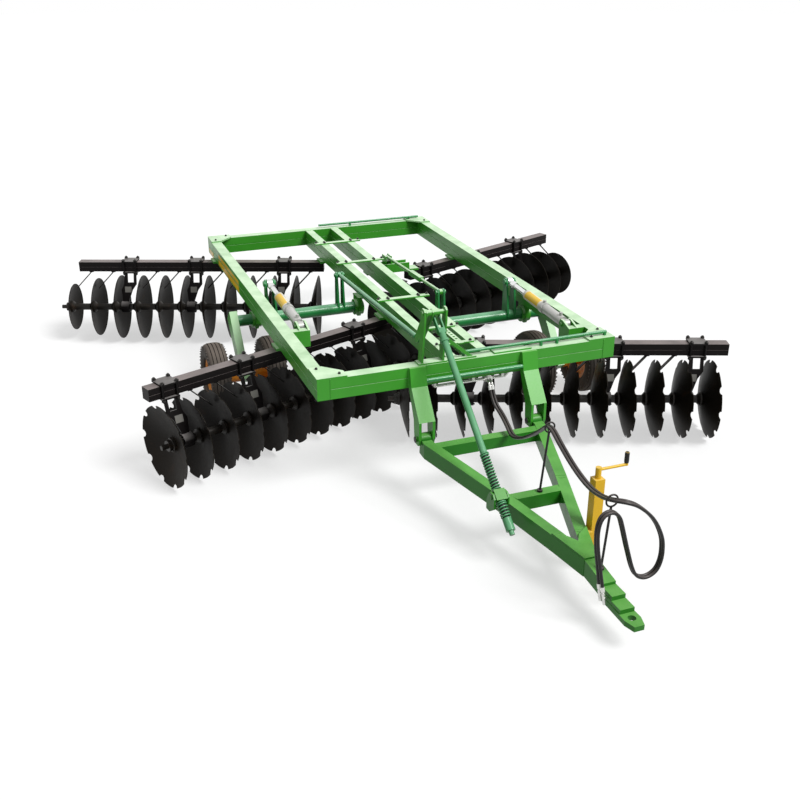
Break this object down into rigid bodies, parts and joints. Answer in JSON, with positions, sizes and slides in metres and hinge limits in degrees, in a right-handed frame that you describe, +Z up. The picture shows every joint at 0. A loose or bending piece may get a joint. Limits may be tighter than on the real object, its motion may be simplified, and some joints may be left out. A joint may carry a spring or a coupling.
{
  "type": "disc harrow",
  "caption": "Towed tandem disc harrow: angled gangs of dished discs under a rectangular frame on lifting wheels, with a triangular drawbar and a parking jack.",
  "frame": {"origin": "on the ground, at the middle of the machine's bounding box without the hoses", "axes": "+X towards the machine's right as seen from in front of the drawbar, +Y to the rear, +Z up"},
  "size_m": [5.583, 6.8428, 1.414],
  "materials": {
    "black_paint": "dusty black paint",
    "bright_rod": "polished",
    "cylinder_paint": "silver paint",
    "fittings": "zinc-plated",
    "green_paint": "weathered gloss green paint",
    "hose": "black rubber",
    "jack_yellow": "yellow paint",
    "rim_orange": "orange paint",
    "tyre": "dusty black rubber",
    "worn_steel": "dark, rusty and soiled steel"
  },
  "bodies": {
    "frame": {"beam_arm": "green_paint", "centre_beams": "green_paint", "frame_brackets": "green_paint", "frame_plates": "green_paint", "frame_rods": "green_paint", "front_rail": "green_paint", "gang_beam_front_left": "black_paint", "gang_beam_front_right": "black_paint", "gang_beam_rear_left": "black_paint", "gang_beam_rear_right": "black_paint", "gang_pads": "green_paint", "hangers_front_left": "black_paint", "hangers_front_right": "black_paint", "hangers_rear_left": "black_paint", "hangers_rear_right": "black_paint", "hitch_bracket_left": "green_paint", "hitch_bracket_right": "green_paint", "mast": "green_paint", "pipes": "fittings", "rear_rail": "green_paint", "side_rail_left": "green_paint", "side_rail_right": "green_paint"},
    "gang_front_left": {"discs_front_left": "worn_steel", "axle_front_left": "worn_steel"},
    "gang_front_right": {"discs_front_right": "worn_steel", "axle_front_right": "worn_steel"},
    "gang_rear_left": {"discs_rear_left": "worn_steel", "axle_rear_left": "worn_steel"},
    "gang_rear_right": {"discs_rear_right": "worn_steel", "axle_rear_right": "worn_steel"},
    "shaft_left": {"rockshaft_left": "green_paint", "wheel_arm_left": "green_paint"},
    "wheels_left": {"tyres_left": "tyre", "rims_left": "rim_orange"},
    "cylinder_left": {"barrel_left": "cylinder_paint"},
    "ram_left": {"rod_left": "bright_rod"},
    "shaft_right": {"rockshaft_right": "green_paint", "wheel_arm_right": "green_paint"},
    "wheels_right": {"tyres_right": "tyre", "rims_right": "rim_orange"},
    "cylinder_right": {"barrel_right": "cylinder_paint"},
    "ram_right": {"rod_right": "bright_rod"},
    "lift_link": {"link_rod": "green_paint"},
    "rocker": {"rocker": "green_paint"},
    "level_link": {"right_link": "green_paint"},
    "drawbar": {"drawbar_arm_left": "green_paint", "drawbar_arm_right": "green_paint", "drawbar_cross_mid": "green_paint", "drawbar_cross_rear": "green_paint", "tongue": "green_paint", "trunnion_ears": "green_paint", "hose_stalks": "green_paint", "jack_tube": "jack_yellow", "hose_first": "hose", "hose_second": "hose", "hose_ends": "fittings"},
    "spring_rod": {"spring_rod": "green_paint", "springs": "worn_steel", "trunnion_block": "green_paint"},
    "jack_leg": {"jack_leg": "jack_yellow"}
  },
  "joints": [
    {"name": "wheel_lift", "type": "hinge", "parent": "frame", "child": "shaft_left", "pos_m": [-1.03, 1.13858, 0.7], "axis": [1, 0, 0], "range_deg": [-12, 25]},
    {"name": "wheel_lift_right", "type": "hinge", "parent": "frame", "child": "shaft_right", "pos_m": [1.03, 0.41858, 0.7], "axis": [1, 0, 0], "range_deg": [-12, 25]},
    {"name": "left_wheels_spin", "type": "hinge", "parent": "shaft_left", "child": "wheels_left", "pos_m": [-1.385, 0.81358, 0.315], "axis": [1, 0, 0], "continuous": true},
    {"name": "right_wheels_spin", "type": "hinge", "parent": "shaft_right", "child": "wheels_right", "pos_m": [1.385, 0.09358, 0.315], "axis": [1, 0, 0], "continuous": true},
    {"name": "front_left_gang_spin", "type": "hinge", "parent": "frame", "child": "gang_front_left", "pos_m": [-2.2, -0.38442, 0.33], "axis": [-0.9336, -0.3584, 0], "continuous": true},
    {"name": "front_right_gang_spin", "type": "hinge", "parent": "frame", "child": "gang_front_right", "pos_m": [2.082, -1.10842, 0.33], "axis": [0.9336, -0.3584, 0], "continuous": true},
    {"name": "rear_left_gang_spin", "type": "hinge", "parent": "frame", "child": "gang_rear_left", "pos_m": [-2.691, 3.21158, 0.33], "axis": [0.9336, -0.3584, 0], "continuous": true},
    {"name": "rear_right_gang_spin", "type": "hinge", "parent": "frame", "child": "gang_rear_right", "pos_m": [2.691, 2.47058, 0.33], "axis": [-0.9336, -0.3584, 0], "continuous": true},
    {"name": "left_cylinder_swing", "type": "hinge", "parent": "frame", "child": "cylinder_left", "pos_m": [-1.03, 0.11337, 0.96503], "axis": [1, 0, 0], "range_deg": [-1.01, 1]},
    {"name": "left_ram_slide", "type": "slide", "parent": "cylinder_left", "child": "ram_left", "axis": [0, 0.9989, 0.0476], "range_m": [-0.14, 0.069]},
    {"name": "right_cylinder_swing", "type": "hinge", "parent": "frame", "child": "cylinder_right", "pos_m": [1.03, -0.60663, 0.96503], "axis": [1, 0, 0], "range_deg": [-1.01, 1]},
    {"name": "right_ram_slide", "type": "slide", "parent": "cylinder_right", "child": "ram_right", "axis": [0, 0.9989, 0.0476], "range_m": [-0.14, 0.069]},
    {"name": "rocker_swing", "type": "hinge", "parent": "frame", "child": "rocker", "pos_m": [-0.34, -1.03642, 1.378], "axis": [1, 0, 0], "range_deg": [-30.55, 15.19]},
    {"name": "lift_link_swing", "type": "hinge", "parent": "rocker", "child": "lift_link", "pos_m": [-0.37, -0.85142, 1.108], "axis": [1, 0, 0], "range_deg": [-16.18, 32.63]},
    {"name": "level_link_swing", "type": "hinge", "parent": "shaft_right", "child": "level_link", "pos_m": [0.34, 0.41858, 1.003], "axis": [1, 0, 0], "range_deg": [-26, 13]},
    {"name": "drawbar_hinge", "type": "hinge", "parent": "frame", "child": "drawbar", "pos_m": [0, -1.20642, 0.46], "axis": [1, 0, 0], "range_deg": [-1.65, 2.9]},
    {"name": "spring_rod_swing", "type": "hinge", "parent": "drawbar", "child": "spring_rod", "pos_m": [-0.303, -2.14642, 0.437], "axis": [1, 0, 0], "range_deg": [-1.64, 1.05]},
    {"name": "jack_slide", "type": "slide", "parent": "drawbar", "child": "jack_leg", "axis": [0, 0, 1], "range_m": [-0.15, 0.2]}
  ],
  "couplings": [
    {"joint": "wheel_lift_right", "follows": "wheel_lift", "ratio": 1},
    {"joint": "left_cylinder_swing", "follows": "wheel_lift", "ratio": -0.0003},
    {"joint": "left_ram_slide", "follows": "wheel_lift", "m_per_rad": -0.3118},
    {"joint": "right_cylinder_swing", "follows": "wheel_lift", "ratio": -0.0003},
    {"joint": "right_ram_slide", "follows": "wheel_lift", "m_per_rad": -0.3118},
    {"joint": "rocker_swing", "follows": "wheel_lift", "ratio": -1.1822},
    {"joint": "lift_link_swing", "follows": "wheel_lift", "ratio": 1.2651},
    {"joint": "level_link_swing", "follows": "wheel_lift", "ratio": -1},
    {"joint": "drawbar_hinge", "follows": "wheel_lift", "ratio": 0.096},
    {"joint": "spring_rod_swing", "follows": "wheel_lift", "ratio": -0.0456}
  ]
}
